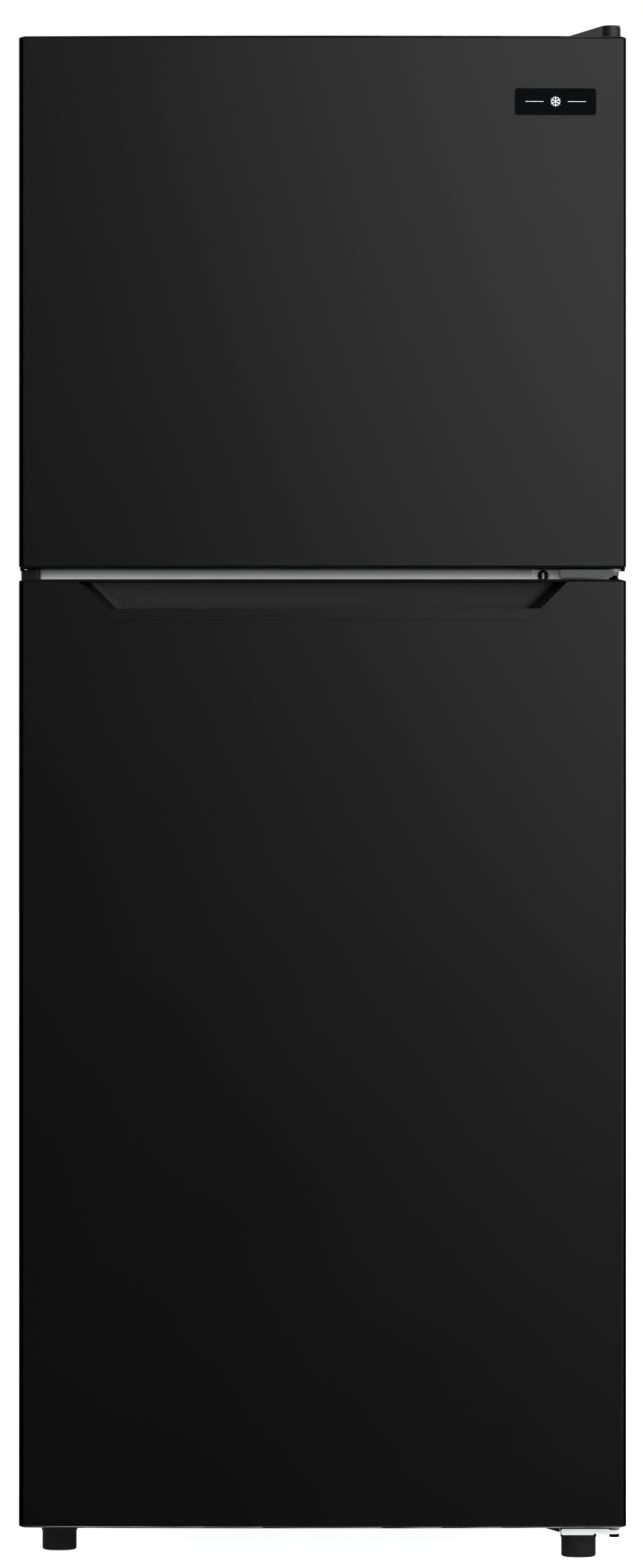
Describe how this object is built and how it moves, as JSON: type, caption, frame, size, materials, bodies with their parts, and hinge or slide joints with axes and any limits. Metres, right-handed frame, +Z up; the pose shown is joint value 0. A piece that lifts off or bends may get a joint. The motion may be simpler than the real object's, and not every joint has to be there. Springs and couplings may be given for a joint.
{
  "type": "top freezer refrigerator",
  "caption": "Free-standing top freezer refrigerator with hinged crowned doors, recessed handle pocket, shelves, crisper drawer, compressor, rear rollers and front levelling feet.",
  "frame": {"origin": "on the floor under the middle of the overall box, doors closed", "axes": "+Z up; the doors face -Y; the hinges are on the +X side"},
  "size_m": [0.6, 0.66, 1.52],
  "materials": {
    "door_paint": "gloss",
    "cabinet_paint": "satin",
    "black_plastic": "satin",
    "badge_plate": "gloss",
    "zinc_sheet": "satin",
    "hinge_steel": "satin",
    "pin_steel": "polished",
    "nylon": "satin",
    "white_liner": "satin",
    "foam": "matte",
    "gasket_rubber": "matte",
    "black_rubber": "matte",
    "shelf_glass": "gloss",
    "clear_plastic": "gloss",
    "compressor_paint": "gloss",
    "copper_tube": "satin",
    "aluminium_fins": "satin",
    "coated_wire": "gloss"
  },
  "bodies": {
    "cabinet": {"cabinet_shell": "cabinet_paint", "back_panel": "zinc_sheet", "base_plate": "zinc_sheet", "cabinet_foam": "foam", "freezer_liner": "white_liner", "fridge_liner": "white_liner", "mullion_bar": "zinc_sheet", "condenser_coil": "copper_tube", "drain_tube": "black_plastic", "top_hinge": "hinge_steel", "middle_hinge": "hinge_steel", "bottom_hinge": "hinge_steel", "hinge_pins": "pin_steel", "hinge_washers": "nylon", "top_hinge_cover": "black_plastic", "hinge_hole_cover": "black_plastic", "screws": "pin_steel", "foot_bracket": "zinc_sheet", "compressor_rail": "zinc_sheet", "roller_axles": "pin_steel", "compressor": "compressor_paint", "compressor_grommets": "black_rubber", "relay_cover": "black_plastic", "drain_pan": "black_plastic", "refrigerant_pipes": "copper_tube", "power_inlet": "black_plastic", "evaporator": "aluminium_fins", "defrost_heater": "pin_steel", "evaporator_cover": "white_liner", "fan_motor": "black_plastic", "freezer_shelf": "coated_wire", "shelf_glass": "shelf_glass", "shelf_trims": "white_liner", "control_box": "white_liner", "lamp_lens": "clear_plastic"},
    "fan": {"fan_blade": "white_liner"},
    "left_roller": {"left_roller": "black_plastic"},
    "right_roller": {"right_roller": "black_plastic"},
    "left_foot": {"left_foot": "black_plastic", "left_foot_stud": "hinge_steel"},
    "right_foot": {"right_foot": "black_plastic", "right_foot_stud": "hinge_steel"},
    "crisper_drawer": {"crisper_drawer": "clear_plastic"},
    "thermostat_dial": {"thermostat_dial": "white_liner"},
    "freezer_door": {"freezer_door_skin": "door_paint", "freezer_door_top_cap": "black_plastic", "freezer_door_bottom_cap": "black_plastic", "freezer_door_foam": "foam", "freezer_door_liner": "white_liner", "freezer_door_gasket": "gasket_rubber", "freezer_door_bins": "clear_plastic", "badge": "badge_plate"},
    "fridge_door": {"fridge_door_skin": "door_paint", "fridge_door_top_cap": "black_plastic", "fridge_door_bottom_cap": "black_plastic", "fridge_door_handle": "black_plastic", "fridge_door_foam": "foam", "fridge_door_liner": "white_liner", "fridge_door_gasket": "gasket_rubber", "fridge_door_bins": "clear_plastic"}
  },
  "joints": [
    {"name": "freezer_door_hinge", "type": "hinge", "parent": "cabinet", "child": "freezer_door", "pos_m": [0.289, -0.302, 1.245], "axis": [0, 0, 1], "range_deg": [0, 125]},
    {"name": "fridge_door_hinge", "type": "hinge", "parent": "cabinet", "child": "fridge_door", "pos_m": [0.289, -0.302, 0.504], "axis": [0, 0, 1], "range_deg": [0, 125]},
    {"name": "crisper_slide", "type": "slide", "parent": "cabinet", "child": "crisper_drawer", "axis": [0, -1, 0], "range_m": [0, 0.18]},
    {"name": "thermostat_turn", "type": "hinge", "parent": "cabinet", "child": "thermostat_dial", "pos_m": [0.095, -0.147, 0.92], "axis": [0, -1, 0], "range_deg": [-135, 135]},
    {"name": "fan_spin", "type": "hinge", "parent": "cabinet", "child": "fan", "pos_m": [0, 0.233, 1.364], "axis": [0, -1, 0], "continuous": true},
    {"name": "left_roller_spin", "type": "hinge", "parent": "cabinet", "child": "left_roller", "pos_m": [-0.252, 0.29, 0.016], "axis": [1, 0, 0], "continuous": true},
    {"name": "right_roller_spin", "type": "hinge", "parent": "cabinet", "child": "right_roller", "pos_m": [0.252, 0.29, 0.016], "axis": [1, 0, 0], "continuous": true},
    {"name": "left_foot_turn", "type": "hinge", "parent": "cabinet", "child": "left_foot", "pos_m": [-0.265, -0.199, 0], "axis": [0, 0, 1], "continuous": true},
    {"name": "right_foot_turn", "type": "hinge", "parent": "cabinet", "child": "right_foot", "pos_m": [0.2556, -0.255, 0], "axis": [0, 0, 1], "continuous": true}
  ],
  "couplings": [
    {"joint": "crisper_slide", "follows": "fridge_door_hinge", "m_per_rad": 0.0825}
  ]
}
